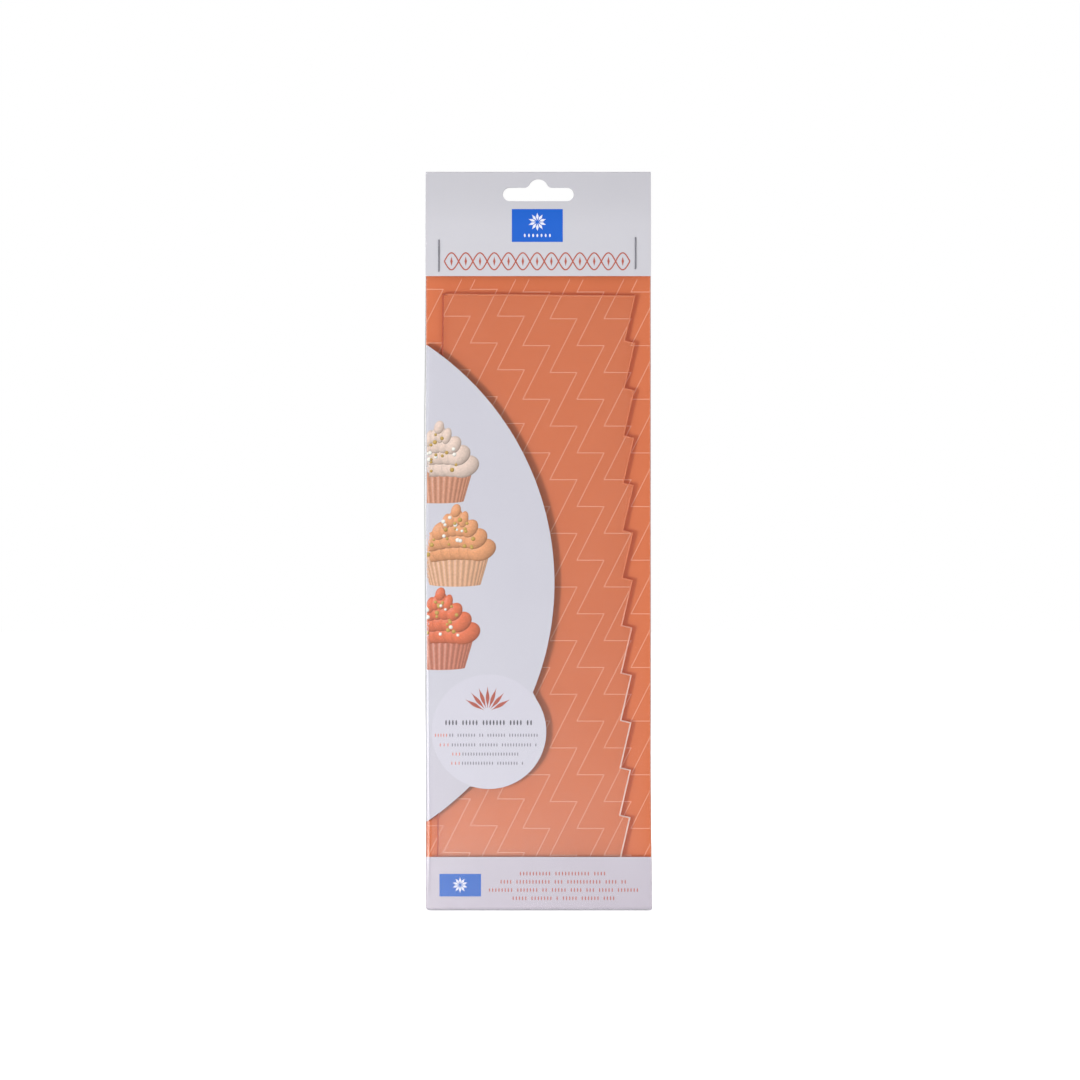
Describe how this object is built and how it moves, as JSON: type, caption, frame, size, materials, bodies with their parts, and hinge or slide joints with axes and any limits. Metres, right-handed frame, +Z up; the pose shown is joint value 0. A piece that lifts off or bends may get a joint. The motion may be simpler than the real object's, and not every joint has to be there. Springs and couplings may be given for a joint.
{
  "type": "icing smoother",
  "caption": "Clear acrylic icing smoother plate with one saw-tooth edge, in a clear film pouch with a printed card insert and a folded hanging header card.",
  "frame": {"origin": "centre of the hang slot, on the rear face of the header card", "axes": "+Z up as the pack hangs, +X to the right seen from the front, -Y towards the viewer"},
  "size_m": [0.0946, 0.0064, 0.3062],
  "materials": {
    "clear_film": "clear film",
    "header_board": "satin coated board",
    "insert_board": "satin printed board",
    "staple_wire": "bright drawn wire",
    "clear_acrylic": "polished"
  },
  "bodies": {
    "sleeve": {"clear_bag": "clear_film", "insert_card": "insert_board"},
    "header": {"header_card": "header_board", "left_staple": "staple_wire", "right_staple": "staple_wire"},
    "scraper": {"scraper_plate": "clear_acrylic"}
  },
  "joints": [
    {"name": "scraper_draw", "type": "slide", "parent": "sleeve", "child": "scraper", "axis": [0, 0, 1], "range_m": [0, 0.288]},
    {"name": "header_lift", "type": "slide", "parent": "sleeve", "child": "header", "axis": [0, 0, 1], "range_m": [0, 0.32]}
  ],
  "couplings": [
    {"joint": "header_lift", "follows": "scraper_draw", "ratio": 1.11}
  ]
}
